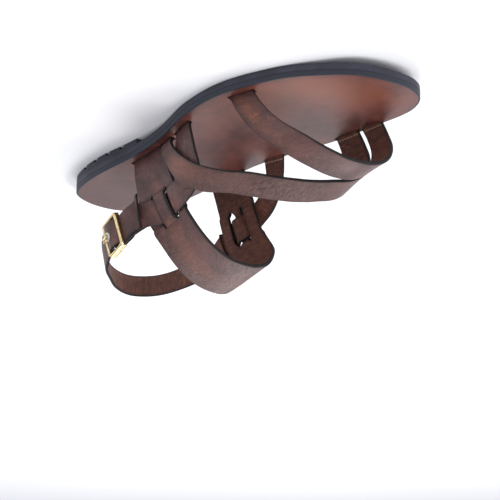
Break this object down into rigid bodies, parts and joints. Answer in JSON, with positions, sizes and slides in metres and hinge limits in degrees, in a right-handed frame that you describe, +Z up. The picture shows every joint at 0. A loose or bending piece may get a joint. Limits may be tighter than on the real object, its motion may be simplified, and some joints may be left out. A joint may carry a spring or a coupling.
{
  "type": "leather sandal",
  "caption": "Strapped leather sandal for the left foot, with a woven heel strap, a brass buckle, a leather footbed and a low rubber heel",
  "frame": {"origin": "on the floor, at the middle of the sandal's bounding box", "axes": "+X to the toe, +Y to the outer side of the left foot, +Z up"},
  "size_m": [0.2836, 0.109, 0.1018],
  "materials": {
    "rubber": "dull blue-black rubber",
    "footbed": "burnished brown leather, waxed",
    "strap": "burnished dark brown leather with painted edges",
    "brass": "polished brass",
    "nickel": "dull nickel plate"
  },
  "bodies": {
    "root": {"outsole": "rubber", "heel_block": "rubber", "insole": "footbed", "toe_strap": "strap", "instep_strap": "strap", "instep_band": "strap", "near_heel_strap": "strap", "sling_strap": "strap", "buckle_frame": "brass", "buckle_prong": "brass", "eyelet": "nickel"}
  },
  "joints": []
}
